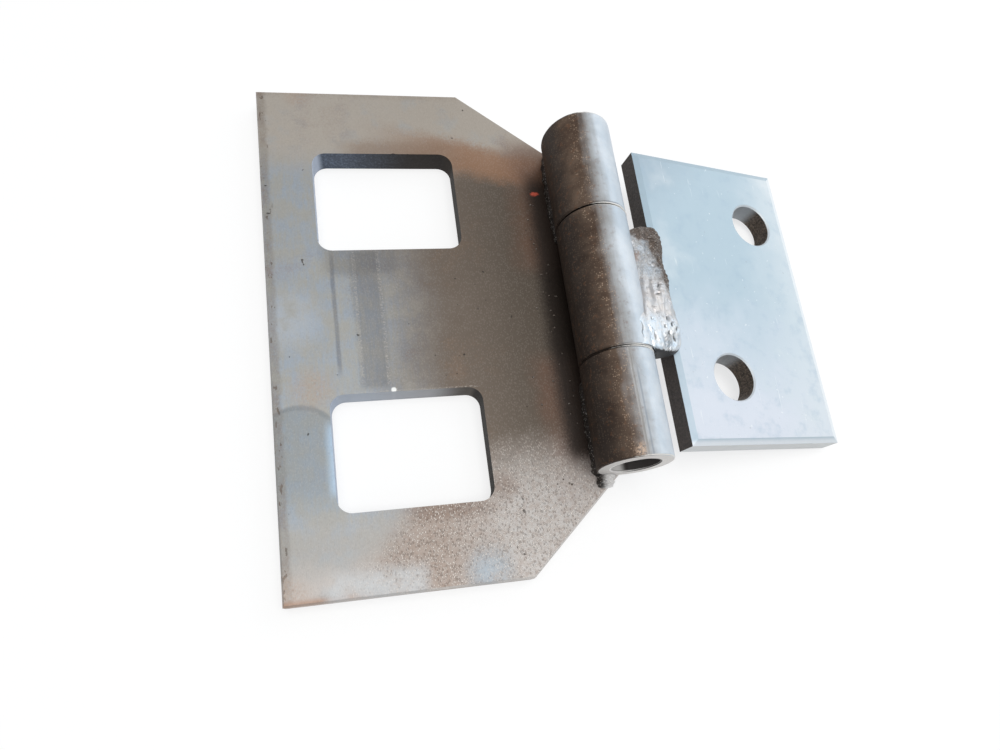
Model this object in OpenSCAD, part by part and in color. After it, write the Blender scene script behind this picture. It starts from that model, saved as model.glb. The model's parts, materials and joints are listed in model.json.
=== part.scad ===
// Welded bonnet hinge: a large plate leaf, a small plate leaf and a barrel of three knuckles on one pin.
// The large leaf lies flat on z = 0, the barrel runs along Y and the small leaf droops until its edge lands.

/* [Large leaf] */
// Width of the large leaf, from its free edge to the edge under the barrel
plate_w = 91; // [80:0.5:120]
// Height of the large leaf along the barrel
plate_h = 150; // [130:1:180]
// Thickness of the large leaf
plate_t = 6; // [4:0.5:10]
// Length that the upper corner cut takes off the top edge
upper_cut_x = 31.5; // [15:0.5:33]
// Length that the lower corner cut takes off the bottom edge
lower_cut_x = 28; // [15:0.5:33]
// Length that each corner cut takes off the edge under the barrel
corner_cut_y = 25.5; // [15:0.5:35]
// Width of the softened arris round the large leaf
plate_arris = 0.5; // [0.2:0.1:1]

/* [Windows] */
// Width of each window, across the leaf
window_w = 41; // [25:0.5:44]
// Height of each window, along the barrel
window_h = 32; // [20:0.5:45]
// Radius of the window corners
window_r = 4; // [1:0.1:6]
// Distance between the centres of the two windows
window_pitch = 75; // [60:0.5:80]
// Width of the rail between the free edge and the windows
window_rail = 14.5; // [8:0.5:20]

/* [Barrel] */
// Outer diameter of the knuckle tube
barrel_od = 20; // [17:0.5:26]
// Diameter of the hinge pin
pin_d = 12.9; // [8:0.1:14]
// Length of the whole barrel
barrel_len = 100; // [90:1:120]
// Length of the centre knuckle
centre_len = 41; // [30:0.5:50]
// Gap between neighbouring knuckles
knuckle_gap = 0.5; // [0.3:0.1:1.5]
// Radial clearance of the pin in the centre knuckle
pin_clearance = 0.05; // [0.02:0.01:0.1]
// Gap between the tube and the face of the large leaf
seat_gap = 0.3; // [0.3:0.1:1]
// Width of the broken edge at the tube ends
tube_arris = 0.4; // [0.1:0.1:1]
// Depth of each pin end inside the barrel
pin_recess = 4; // [1:0.5:8]
// Depth of the rolling seam along the lower knuckle
seam_depth = 0.35; // [0.1:0.05:0.8]
// Angle of the rolling seam, from the small leaf side up over the barrel
seam_angle = 94; // [60:1:150]

/* [Small leaf] */
// Width of the small leaf, away from the barrel
leaf_w = 54; // [45:0.5:80]
// Height of the small leaf along the barrel
leaf_h = 92; // [80:1:120]
// Thickness of the small leaf
leaf_t = 6; // [4:0.5:8]
// Gap between the barrel and the small leaf, bridged by the weld
leaf_gap = 7; // [6:0.25:9]
// Height of the small leaf's middle plane above the pin axis
leaf_lift = 0.6; // [0:0.1:1.5]
// Width of the bevel round the front of the small leaf
bevel_w = 1.8; // [0.5:0.1:3]
// Depth of that bevel
bevel_d = 0.6; // [0.2:0.1:1.5]

/* [Bolt holes] */
// Diameter of the bolt holes
hole_d = 14; // [8:0.5:16]
// Distance of the upper hole from the outer edge of the small leaf
upper_hole_edge = 13.5; // [11:0.5:20]
// Distance of the lower hole from the barrel edge of the small leaf
lower_hole_edge = 19.5; // [14:0.5:24]
// Distance between the two holes along the barrel
hole_pitch = 52; // [40:0.5:60]
// Width of the broken edge at each hole
hole_arris = 0.4; // [0.1:0.1:1]

/* [Welds] */
// Radius of the fillet beads under the outer knuckles
fillet_r = 3.6; // [2.5:0.1:4]
// Share of that radius by which a fillet bead stands off the tube and the plate
fillet_offset = 0.2; // [0.1:0.05:0.4]
// Length that each fillet runs past the end of the barrel
fillet_overrun = 2.4; // [0:0.1:3]
// Distance that each fillet stops short of the centre knuckle
fillet_clearance = 0.8; // [0.5:0.1:3]
// Pitch of the ripples along the welds
ripple_pitch = 2.2; // [1.8:0.1:4]
// Length by which the centre bead laps over each side of its gap
bead_lap = 1.9; // [1:0.1:2.5]
// Height of the centre bead's middle above the small leaf's middle plane
bead_crown = 1; // [0:0.1:1.5]
// Distance that the centre bead stops short of the knuckle's ends
bead_end = 0.3; // [0.2:0.1:4]

/* [Hidden] */

$fn = 96;
cut = 1;
skin = 0.01;
cap_facets = 6;

barrel_r = barrel_od / 2;
axis_x = plate_w / 2;
axis_z = plate_t + seat_gap + barrel_r;
centre_half = centre_len / 2;
outer_start = centre_half + knuckle_gap;
outer_len = barrel_len / 2 - outer_start;

leaf_in = barrel_r + leaf_gap;
leaf_out = leaf_in + leaf_w;
leaf_back = leaf_lift - leaf_t / 2;
leaf_front = leaf_lift + leaf_t / 2;
leaf_reach = norm([leaf_out, leaf_back]);
leaf_droop = asin(axis_z / leaf_reach) + atan2(leaf_back, leaf_out);

upper_hole = [leaf_out - upper_hole_edge, hole_pitch / 2];
lower_hole = [leaf_in + lower_hole_edge, -hole_pitch / 2];

fillet_stand = fillet_r * fillet_offset;
fillet_z = plate_t + fillet_stand;
fillet_x = axis_x - sqrt(pow(barrel_r + fillet_stand, 2) - pow(axis_z - fillet_z, 2));
fillet_first = outer_start + fillet_clearance + fillet_r;
fillet_last = barrel_len / 2 + fillet_overrun - fillet_r;

bead_r = leaf_gap / 2 + bead_lap;
bead_u = barrel_r + leaf_gap / 2;
bead_w = leaf_lift + bead_crown;
bead_half = centre_half - bead_end - bead_r;

plate_grey = [0.42, 0.39, 0.36];
tube_grey = [0.40, 0.36, 0.33];
leaf_blue = [0.66, 0.73, 0.79];
weld_grey = [0.50, 0.48, 0.46];
pin_grey = [0.30, 0.28, 0.27];

// Moves a shape from the origin to the pin axis
module on_axis() {
    translate([axis_x, 0, axis_z]) children();
}

// Turns a shape from the pin frame, X across the small leaf, to the drooping rest position
module on_small_leaf() {
    on_axis() rotate([0, leaf_droop, 0]) children();
}

// Lays a shape that stands along Z along Y, from y = start
module along_y(start) {
    translate([0, start, 0]) rotate([-90, 0, 0]) children();
}

// Outline of the large leaf, drawn in by a margin
module plate_outline(margin) {
    half_w = plate_w / 2;
    half_h = plate_h / 2;
    offset(delta = -margin)
        polygon([
            [-half_w, -half_h],
            [half_w - lower_cut_x, -half_h],
            [half_w, -half_h + corner_cut_y],
            [half_w, half_h - corner_cut_y],
            [half_w - upper_cut_x, half_h],
            [-half_w, half_h]
        ]);
}

// Flat blank of the large leaf with a softened arris on both faces
module plate_blank() {
    hull() {
        linear_extrude(plate_t) plate_outline(plate_arris);
        translate([0, 0, plate_arris]) linear_extrude(plate_t - 2 * plate_arris) plate_outline(0);
    }
}

// Rectangle with round corners, centred
module rounded_rectangle(width, height, radius) {
    square([width - 2 * radius, height], center = true);
    square([width, height - 2 * radius], center = true);
    for (sx = [-1, 1], sy = [-1, 1])
        translate([sx * (width / 2 - radius), sy * (height / 2 - radius)]) circle(radius);
}

module body_leaf() {
    window_x = -plate_w / 2 + window_rail + window_w / 2;
    color(plate_grey)
    difference() {
        plate_blank();
        for (side = [-1, 1])
            translate([window_x, side * window_pitch / 2, -cut])
                linear_extrude(plate_t + 2 * cut) rounded_rectangle(window_w, window_h, window_r);
    }
}

// Length of knuckle tube with broken outer edges, along Y from y = start
module knuckle(start, length, bore_r) {
    along_y(start)
        rotate_extrude()
            polygon([
                [bore_r, 0],
                [barrel_r - tube_arris, 0],
                [barrel_r, tube_arris],
                [barrel_r, length - tube_arris],
                [barrel_r - tube_arris, length],
                [bore_r, length]
            ]);
}

// Shallow V groove along the top of the lower knuckle
module rolling_seam() {
    side = seam_depth * sqrt(2);
    rotate([0, -seam_angle, 0])
        translate([barrel_r, -barrel_len / 2 + outer_len / 2, 0])
            rotate([0, 45, 0]) cube([side, outer_len + 2 * cut, side], center = true);
}

module upper_knuckle() {
    color(tube_grey) on_axis() knuckle(outer_start, outer_len, pin_d / 2);
}

module lower_knuckle() {
    color(tube_grey)
    on_axis()
    difference() {
        knuckle(-barrel_len / 2, outer_len, pin_d / 2);
        rolling_seam();
    }
}

module centre_knuckle() {
    color(tube_grey) on_axis() knuckle(-centre_half, centre_len, pin_d / 2 + pin_clearance);
}

module hinge_pin() {
    pin_len = barrel_len - 2 * pin_recess;
    color(pin_grey)
    on_axis()
    along_y(-pin_len / 2)
    rotate_extrude()
        polygon([
            [0, 0],
            [pin_d / 2 - tube_arris, 0],
            [pin_d / 2, tube_arris],
            [pin_d / 2, pin_len - tube_arris],
            [pin_d / 2 - tube_arris, pin_len],
            [0, pin_len]
        ]);
}

// Half outline of a bead: a round end, one crest and one valley for each ripple, and a round end
function ripple_outline(radius, first, last) =
    let (
        steps = max(1, ceil((last - first) / ripple_pitch)),
        step = (last - first) / steps,
        valley = sqrt(pow(radius, 2) - pow(step / 2, 2)),
        turns = [0 : 90 / cap_facets : 90]
    )
    concat(
        [for (a = turns) [radius * sin(a), first - radius * cos(a)]],
        [for (i = [1 : steps], crest = [0, 1])
            [crest ? radius : valley, first + step * (crest ? i : i - 0.5)]],
        [for (a = turns) if (a > 0) [a < 90 ? radius * cos(a) : 0, last + radius * sin(a)]]
    );

// Bead along Y with ripples, turned about its own middle line
module ripple_row(radius, first, last) {
    along_y(0) rotate_extrude() polygon(ripple_outline(radius, first, last));
}

// Fillet bead in the crook between the large leaf and the upper outer knuckle
module fillet_bead() {
    difference() {
        translate([fillet_x, 0, fillet_z]) ripple_row(fillet_r, fillet_first, fillet_last);
        on_axis() along_y(outer_start) cylinder(r = barrel_r, h = outer_len);
        translate([-plate_w, -plate_h, -plate_t]) cube([2 * plate_w, 2 * plate_h, 2 * plate_t]);
    }
}

module upper_weld() {
    color(weld_grey) fillet_bead();
}

module lower_weld() {
    color(weld_grey) mirror([0, 1, 0]) fillet_bead();
}

// Solid blank of the small leaf in the pin frame, bevelled round its front face
module leaf_blank() {
    intersection() {
        rotate([90, 0, 0])
            linear_extrude(leaf_h, center = true)
                polygon([
                    [leaf_in, leaf_back],
                    [leaf_out, leaf_back],
                    [leaf_out, leaf_front - bevel_d],
                    [leaf_out - bevel_w, leaf_front],
                    [leaf_in + bevel_w, leaf_front],
                    [leaf_in, leaf_front - bevel_d]
                ]);
        translate([leaf_in - cut, 0, 0])
            rotate([90, 0, 90])
                linear_extrude(leaf_w + 2 * cut)
                    polygon([
                        [-leaf_h / 2, leaf_back - cut],
                        [leaf_h / 2, leaf_back - cut],
                        [leaf_h / 2, leaf_front - bevel_d],
                        [leaf_h / 2 - bevel_w, leaf_front],
                        [-leaf_h / 2 + bevel_w, leaf_front],
                        [-leaf_h / 2, leaf_front - bevel_d]
                    ]);
    }
}

// Bolt hole through the small leaf with a broken front edge
module bolt_hole(place) {
    translate([place[0], place[1], leaf_back - cut]) cylinder(d = hole_d, h = leaf_t + 2 * cut);
    translate([place[0], place[1], leaf_front - hole_arris])
        cylinder(d1 = hole_d, d2 = hole_d + 2 * (hole_arris + skin), h = hole_arris + skin);
}

module bonnet_leaf() {
    color(leaf_blue)
    on_small_leaf()
    difference() {
        leaf_blank();
        bolt_hole(upper_hole);
        bolt_hole(lower_hole);
    }
}

module centre_weld() {
    color(weld_grey)
    on_small_leaf()
    difference() {
        translate([bead_u, 0, bead_w]) ripple_row(bead_r, -bead_half, bead_half);
        along_y(-centre_half) cylinder(r = barrel_r, h = centre_len);
        leaf_blank();
    }
}

body_leaf();
upper_knuckle();
lower_knuckle();
upper_weld();
lower_weld();
hinge_pin();
centre_knuckle();
bonnet_leaf();
centre_weld();
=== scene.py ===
# %% [markdown]
# # Dressing a welded bonnet hinge
# The hinge is shop-made from raw steel: two flat leaves, three lengths of thick tube on a pin, and welds
# that hold tube to plate. The exact solids come packed, each in its place. This lesson gives them their
# finish and adds what only a mesh can show: lumpy welds, burrs at the saw cuts and drops of spatter.

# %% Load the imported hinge
import json
import math

import bpy
import numpy as np
from mathutils import Matrix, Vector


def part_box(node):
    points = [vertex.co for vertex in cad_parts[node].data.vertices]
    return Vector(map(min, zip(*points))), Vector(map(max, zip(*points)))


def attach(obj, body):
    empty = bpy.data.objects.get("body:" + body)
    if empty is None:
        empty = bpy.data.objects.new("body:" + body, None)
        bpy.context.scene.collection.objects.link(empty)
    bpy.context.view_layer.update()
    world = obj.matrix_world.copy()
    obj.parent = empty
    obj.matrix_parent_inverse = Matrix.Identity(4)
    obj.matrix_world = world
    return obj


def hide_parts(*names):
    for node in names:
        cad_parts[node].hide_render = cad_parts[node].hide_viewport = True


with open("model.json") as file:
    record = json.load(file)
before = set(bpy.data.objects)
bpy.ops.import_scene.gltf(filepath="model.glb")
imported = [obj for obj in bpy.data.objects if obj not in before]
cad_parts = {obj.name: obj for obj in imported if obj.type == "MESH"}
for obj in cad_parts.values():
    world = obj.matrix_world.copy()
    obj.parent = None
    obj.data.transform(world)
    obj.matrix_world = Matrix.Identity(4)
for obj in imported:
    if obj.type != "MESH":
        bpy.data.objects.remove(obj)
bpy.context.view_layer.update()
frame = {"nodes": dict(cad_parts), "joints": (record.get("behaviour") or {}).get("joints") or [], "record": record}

print("nodes:", ", ".join(sorted(frame["nodes"])))

# %% [markdown]
# ## Measures
# New pieces take their place from the solids. The joint gives the pin's axis, the bolt pattern gives the
# small leaf's normal, and the boxes of the solids give the rest. Typing these numbers again would work
# until a size changes, so they are read. Lengths below are in millimetres, as on a workshop drawing, and
# become metres only when a mesh is written.

# %% Pin axis, leaf slope and main sizes
MM = 0.001


def box_mm(node):
    """Lowest and highest corner of a solid, in millimetres."""
    return [np.array(corner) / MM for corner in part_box(node)]


AXIS_X, _, AXIS_Z = [value / MM for value in frame["joints"][0]["pos_m"]]
bolts = next(mount for mount in frame["record"]["mounts"] if mount["name"] == "bonnet_bolts")
LEAF_SIN, _, LEAF_COS = bolts["axis"]
PLATE_TOP = box_mm("body_leaf")[1][2]
CENTRE_LOW, CENTRE_HIGH = box_mm("centre_knuckle")
TUBE_R = (CENTRE_HIGH[2] - CENTRE_LOW[2]) / 2
BARREL_END = box_mm("upper_knuckle")[1][1]
BORE_R = box_mm("hinge_pin")[1][2] - AXIS_Z
print(f"axis at x {AXIS_X:.1f}, z {AXIS_Z:.1f}; tube radius {TUBE_R:.1f}; bore radius {BORE_R:.2f} mm")

# %% [markdown]
# ## Shader maths in plain expressions
# A finish is mostly arithmetic on masks: where the heat went, where rust sits, where a face was sawn.
# Wiring Math nodes by hand hides that arithmetic, so one small class wraps a socket. Adding or
# multiplying two wrapped values adds the Math node behind it, and one method makes any other node.

# %% The Field class


class Field:
    """A value that varies over a surface: one output socket of a material's node tree."""

    def __init__(self, socket):
        self.socket = socket

    def node(self, kind, settings=None, inputs=None, out=0):
        """Adds a node to this field's tree: settings first, then the values or links of its sockets."""
        return add_node(self.socket.id_data, kind, settings, inputs, out)

    def math(self, operation, other=0.0, swapped=False):
        """One Math node on this field and a number or field."""
        pair = (other, self) if swapped else (self, other)
        return self.node("ShaderNodeMath", {"operation": operation}, dict(enumerate(pair)))

    def __add__(self, other):
        return self.math("ADD", other)

    def __sub__(self, other):
        return self.math("SUBTRACT", other)

    def __rsub__(self, other):
        return self.math("SUBTRACT", other, swapped=True)

    def __mul__(self, other):
        return self.math("MULTIPLY", other)

    def __truediv__(self, other):
        return self.math("DIVIDE", other)

    def __rtruediv__(self, other):
        return self.math("DIVIDE", other, swapped=True)

    def __pow__(self, other):
        return self.math("POWER", other)

    def __abs__(self):
        return self.math("ABSOLUTE")

    __radd__ = __add__
    __rmul__ = __mul__

    def hypot(self, other):
        """Length of a step of this far one way and other far square to it."""
        return (self * self + other * other) ** 0.5

    def rise(self, low, high):
        """Smooth step: 0 below low, 1 above high."""
        settings = {"interpolation_type": "SMOOTHSTEP"}
        return self.node("ShaderNodeMapRange", settings, {"Value": self, "From Min": low, "From Max": high})

    def between(self, low, high, soft):
        """1 between low and high, with soft shoulders outside."""
        return self.rise(low - soft, low) * (1 - self.rise(high, high + soft))

    def mix(self, first, second):
        """Colour that goes from first to second as this field goes from 0 to 1."""
        inputs = {0: self, 6: first, 7: second}
        return self.node("ShaderNodeMix", {"data_type": "RGBA"}, inputs, out=2)

    def times(self, factors):
        """This vector with each part multiplied by its own factor."""
        return self.node("ShaderNodeVectorMath", {"operation": "MULTIPLY"}, {0: self, 1: factors})

    def noise(self, per_mm, detail=3.0, roughness=0.55):
        """Cloudy noise from 0 to 1, with about this many features to a millimetre."""
        inputs = {"Vector": self, "Scale": per_mm, "Detail": detail, "Roughness": roughness}
        return self.node("ShaderNodeTexNoise", {}, inputs)

    def grains(self, per_mm, share, size=0.4):
        """1 on small round grains: at most one to a cell, in this share of the cells, size in cell widths."""
        cells = self.node("ShaderNodeTexVoronoi", {"feature": "F1"}, {"Vector": self, "Scale": per_mm})
        pick, _, _ = Field(cells.socket.node.outputs["Color"]).parts()
        return (1 - cells.rise(size * 0.5, size)) * pick.math("LESS_THAN", share)

    def parts(self):
        """The three parts of this vector as fields."""
        split = self.node("ShaderNodeSeparateXYZ", {}, {0: self}).socket.node
        return [Field(socket) for socket in split.outputs]


def add_node(tree, kind, settings=None, inputs=None, out=0):
    """A new node in a tree as a Field of one of its outputs."""
    node = tree.nodes.new(kind)
    for name, value in (settings or {}).items():
        setattr(node, name, value)
    for key, value in (inputs or {}).items():
        if isinstance(value, Field):
            tree.links.new(value.socket, node.inputs[key])
        else:
            node.inputs[key].default_value = value
    return Field(node.outputs[out])


def paint(red, green, blue):
    """A colour on the usual 0 to 255 screen scale, turned into Blender's linear numbers."""
    scale = [value / 255 for value in (red, green, blue)]
    linear = [((v + 0.055) / 1.055) ** 2.4 if v > 0.04045 else v / 12.92 for v in scale]
    return (*linear, 1.0)


print("middle grey in linear numbers:", [round(value, 3) for value in paint(128, 128, 128)])

# %% [markdown]
# ## A steel surface
# All finishes here start alike: object coordinates in millimetres, so a pattern has a real size and stays
# on its piece when the hinge swings, and a Principled shader that reflects partly like metal. Raw mill
# steel is covered by thin oxide, so it is only half metallic to the eye. The colour is built up in coats:
# each coat is a tone and a mask that says where it lies. Texture pictures could show the same, but they
# would need unwrapped meshes and have one fixed sharpness.

# %% The Steel class


class Steel:
    """A new material: its place in millimetres, its surface direction, a colour and a Principled shader."""

    def __init__(self, name):
        self.material = bpy.data.materials.new(name)
        self.material.use_nodes = True
        self.tree = self.material.node_tree
        self.shader = self.tree.nodes["Principled BSDF"]
        self.colour = None
        coords = add_node(self.tree, "ShaderNodeTexCoord", out="Object")
        scale = {"operation": "SCALE"}
        self.place = coords.node("ShaderNodeVectorMath", scale, {0: coords, "Scale": 1 / MM})
        self.x, self.y, self.z = self.place.parts()
        facing = add_node(self.tree, "ShaderNodeTexCoord", out="Normal")
        self.face_x, self.face_y, self.face_z = facing.parts()

    def across_leaf(self):
        """Distance from the pin's axis, measured along the small leaf."""
        return (self.x - AXIS_X) * LEAF_COS - (self.z - AXIS_Z) * LEAF_SIN

    def around_pin(self):
        """Distance from the pin's axis, and how far a point lies to the small leaf's side, from -1 to 1."""
        across = self.x - AXIS_X
        reach = across.hypot(self.z - AXIS_Z)
        return reach, across / reach

    def spot(self, x, y, radius, soft):
        """1 within a radius of a point of the plate, seen from above, with a soft rim."""
        return 1 - (self.x - x).hypot(self.y - y).rise(radius, radius + soft)

    def lay(self, mask, tone):
        """Lays a coat over the colour so far, as thick as the mask says."""
        self.colour = mask.mix(self.colour, tone)

    def tell(self, step):
        """Prints how far the material has grown."""
        print(f"{self.material.name}, {step}: {len(self.tree.nodes)} nodes")

    def finish(self, roughness, metallic, height):
        """Joins the colour, roughness, metallic share and height in millimetres to the shader."""
        bump = height.node("ShaderNodeBump", {}, {"Height": height, "Distance": MM, "Strength": 1.0})
        sockets = {"Base Color": self.colour, "Roughness": roughness, "Metallic": metallic, "Normal": bump}
        for name, value in sockets.items():
            if isinstance(value, Field):
                self.tree.links.new(value.socket, self.shader.inputs[name])
            else:
                self.shader.inputs[name].default_value = value
        self.tell("finished")
        return self.material


print("patterns are in units of", MM, "m")

# %% [markdown]
# ## The large leaf's plate
# Hot-rolled plate leaves the mill blue-grey. Here that blue-grey stays along the free edge under a painted
# sheen. The plate turns warm towards the barrel where the welding heat went, and dark in the middle beside the
# barrel, partly from that heat and partly as painted shade. It is paler along its top and bottom, partly as
# painted light. One noise for everything would look printed, so there are four: clouds, patches, fine grain
# and streaks along the rolling direction. The slow ones together make the drift, which pushes every border
# about, as on real scale. Places are counted from the plate's middle: x runs towards the barrel, y along it.

# %% Plate noises


class Plate(Steel):
    """Steel of the large leaf, with the noises that all its masks share."""

    def __init__(self):
        super().__init__("plate_steel")
        self.patch = self.place.noise(0.16, 5.0, 0.6)
        self.grain = self.place.noise(1.5, 6.0, 0.8)
        self.streak = self.place.times((1.0, 0.12, 1.0)).noise(1.3, 5.0, 0.75)
        self.cloud = self.place.noise(0.04, 4.0)
        self.ragged = self.grain - 0.5
        self.drift = (self.cloud - 0.5) * 26 + (self.patch - 0.5) * 12
        self.dark = (self.x + self.drift * 0.5).rise(0, 30) * (self.y + self.drift * 0.6).between(-34, 40, 14)


plate = Plate()
plate.tell("noises")

# %% [markdown]
# ## Tones of the scale
# The broad tones come first, as a painter would lay them: sheen, warmth, the dark middle, then the pale
# bands at the top and the bottom with cool patches in them, and thin rust over all.

# %% Scale tones


def scale_tones(plate):
    """Sheen at the free edge, warm and then dark towards the barrel, paler along the top and the bottom."""
    x, y, drift, ragged, patch = plate.x, plate.y, plate.drift, plate.ragged, plate.patch
    # painted sheen over the blue-grey scale at the free edge
    sheen = (patch + (plate.streak - 0.5) * 0.6).rise(0.35, 0.70)
    plate.colour = sheen.mix(paint(166, 165, 160), paint(158, 167, 177))
    warm = (x + drift * 0.7 + ragged * 12).rise(-28, 6)
    plate.lay(warm, paint(109, 97, 86))
    # dark middle beside the barrel: partly heat, partly painted shade
    plate.lay(plate.dark * 0.8, paint(84, 74, 63))

    # paler along the top and the bottom, partly painted light
    high = (y + drift * 0.4).rise(44, 58)
    plate.lay(high * 0.9, paint(181, 172, 161))
    low = 1 - (y + drift * 0.4 - x * 0.12 + ragged * 10).rise(-62, -44)
    lowest = 1 - (y + drift * 0.3).rise(-75, -62)
    plate.lay(low * 0.9, lowest.mix(paint(166, 163, 159), paint(191, 184, 179)))
    cool = (patch + ragged * 0.3).rise(0.5, 0.7) * (low + high)
    plate.lay(cool * 0.4, paint(164, 171, 175))

    # painted highlight: a bright spot on the free edge
    shine = plate.spot(-40, 1, 3, 9) * patch.rise(0.2, 0.5)
    plate.lay(shine * 0.5, paint(182, 189, 197))
    rust = (plate.cloud + ragged * 0.8 + patch * 0.4).rise(0.78, 1.02)
    plate.lay(rust * 0.3 * (1 - plate.dark), paint(152, 120, 96))


scale_tones(plate)
plate.tell("scale tones")

# %% [markdown]
# ## Heat on the plate
# Heat colours steel in bands: straw and brown where it was warm, nearly black where soot and slag stayed.
# The band runs in an arc above the upper window and along the barrel. The crook beside the tube is painted
# nearly black: painted shade where tube and plate meet, with soot. One ramp on the distance from the weld
# would give neat stripes. Real heat spreads unevenly, so each band is a mask of its own. A fleck of red
# paint lies on the dark crook.

# %% Heat tones
FLECK_X, FLECK_Y = 34.2, 39.6


def heat_tones(plate):
    """Brown arc and singed rim above the upper window, scorch beside the barrel, painted shade and sooty black in
    the crook, red fleck.
    """
    x, y, drift, ragged = plate.x, plate.y, plate.drift, plate.ragged
    arc = (y + x * 0.25 + drift * 0.25 + ragged * 8).between(53, 58, 6) * (x + drift * 0.3).rise(-22, 18)
    plate.lay(arc * 0.85, paint(150, 113, 86))
    singe = (y + drift * 0.1 + ragged * 6).between(53, 55, 5) * (x + drift * 0.3).between(-17, 6, 8)
    plate.lay(singe * 0.55, paint(138, 112, 92))
    plate.heat = (x + drift * 0.35 + ragged * 8).rise(22, 33) * abs(y).between(18, 54, 8)
    plate.lay(plate.heat * (0.4 + 0.6 * plate.patch), paint(108, 76, 57))
    beside_barrel = (abs(y) + ragged * 9).between(0, 41, 8)
    # painted shade: the crook beside the tube is painted nearly black, with soot
    plate.soot = (x + drift * 0.08 + ragged * 6).rise(28.6, 34.4) * beside_barrel
    plate.lay(plate.soot * 0.92, paint(36, 26, 19))
    from_fleck = ((x - FLECK_X) / 1.5).hypot((y - FLECK_Y) / 0.8) + ragged * 2.2
    plate.lay(1 - from_fleck.rise(0.5, 1.1), paint(204, 88, 66))


heat_tones(plate)
plate.tell("heat tones")

# %% [markdown]
# ## Marks of the rolling mill and a stain
# Between the windows the plate shows lines of the rolling mill: a dark line and a worn band with bright
# lips. A round stain darkens the rail beside the lower window. Stretched noise alone would spread such
# lines over the whole plate, so each mark gets its own limits, and the noise only breaks it up.

# %% Roller lines and round stain
STAIN_X, STAIN_Y, STAIN_R = -39.5, -35, 10.3


def roller_lines(plate):
    """A dark line, a worn band between the windows, its bright lips and the dulled rail under the window."""
    x, y, drift, ragged = plate.x, plate.y, plate.drift, plate.ragged
    middle = y.between(-19, 20, 2.0)
    wander = x + drift * 0.1 + ragged * 3
    line = (x + drift * 0.03).between(-27.9, -27.4, 0.6) * y.between(-12, 17, 6)
    plate.lay(line * (0.2 + 0.5 * plate.patch), paint(92, 96, 106))
    band = wander.between(-21.5, -15.5, 2.0) * middle
    plate.lay(band * (0.2 + 0.4 * plate.streak), paint(98, 99, 103))
    under_window = (y + drift * 0.15 + ragged * 4).between(16, 22, 4) * wander.between(-27, -12, 5)
    plate.lay(under_window * 0.4, paint(98, 95, 94))
    lip = (x.between(-22.0, -21.4, 0.4) + x.between(-15.2, -14.6, 0.4)) * middle
    lip = lip + y.between(-21.5, -21.2, 0.2) * x.between(-24, 9, 1)
    plate.lay(lip * plate.grain.rise(0.45, 0.65) * 0.5, paint(200, 195, 188))


def round_stain(plate):
    """A disc that runs on downwards, between the free edge and the lower window, with a darker upper rim."""
    x, y = plate.x, plate.y
    radius = (x - STAIN_X).hypot(y - STAIN_Y) + plate.drift * 0.1
    dome = (1 - radius.rise(STAIN_R, STAIN_R + 0.9)).math("MAXIMUM", 1 - y.rise(-38, -34))
    dome = dome * (1 - x.rise(-31, -28)) * y.rise(-58, -44)
    plate.lay(dome * 0.5, paint(128, 137, 143))
    rim = radius.between(STAIN_R - 0.3, STAIN_R + 0.3, 0.8) * y.rise(-30, -26)
    plate.lay(rim * 0.3, paint(104, 112, 118))


roller_lines(plate)
round_stain(plate)
plate.tell("roller lines and stain")

# %% [markdown]
# ## Edges of the plate
# Dirt sits along the sheared edges, the free edge is nicked, and rust blooms where damp stayed in the
# corners. The wear could follow from the mesh's edges, but the exact solid has only a few long faces. The
# distance from the edge is known from the place, so it is used directly.

# %% Edge wear
# x, y, radius and soft rim of each bloom of rust
BLOOMS = ((-35, -19.5, 2.0, 6.0), (-44.5, -74, 3.5, 5), (-29, -74.5, 1.0, 4), (-34, 73.5, 1.5, 4))


def edge_wear(plate):
    """Dirt and nicks on the free edge, lit edge of the lower window, rust in the corners, two specks."""
    x, y, drift, grain, patch = plate.x, plate.y, plate.drift, plate.grain, plate.patch
    strip = 1 - (x + (patch - 0.5) * 3).rise(-43.8, -42.4)
    plate.lay(strip * 0.25, paint(110, 106, 100))
    chips = plate.place.times((1.0, 0.45, 1.0)).noise(0.9, 2.0, 0.5).rise(0.64, 0.68)
    plate.lay(chips * (1 - x.rise(-43.4, -42)) * 0.7, paint(84, 74, 66))
    lit_edge = x.rise(-33.6, -30.8) * (1 - x.rise(-30, -29)) * y.between(-46, -32, 5)
    plate.lay(lit_edge * 0.75, paint(178, 203, 226))
    dirt = (strip + abs(y - drift * 0.06).rise(72, 74.6)) * (patch * 0.7 + grain * 0.6).rise(0.52, 0.86)
    plate.lay(dirt * 0.5, paint(130, 106, 86))

    bloom = sum(plate.spot(*place) for place in BLOOMS) * grain.rise(0.35, 0.6)
    plate.lay(bloom * 0.55, paint(176, 154, 138))
    edge_rust = (1 - (y + plate.ragged * 2).rise(-74.6, -73)) * (x + drift * 0.3).between(-46, -27, 4)
    plate.lay(edge_rust * 0.6, paint(164, 122, 94))
    bright_speck = plate.spot(-13.9, -21.0, 0.5, 0.4)
    plate.lay(bright_speck, paint(240, 240, 238))
    rust_speck = plate.spot(18.3, -73.6, 0.3, 0.8)
    plate.lay(rust_speck * 0.8, paint(112, 80, 56))


edge_wear(plate)
plate.tell("edge wear")

# %% [markdown]
# ## Sandy scale
# Below and beside the lower window the scale has broken up into fine grains, light and dark side by side,
# with two smooth bluish patches left over. Cloudy noise is too soft for grains. Cells of random points
# make them, drawn out a little along the plate, and the same cells lift and sink the surface.

# %% Sand and pits


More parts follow.
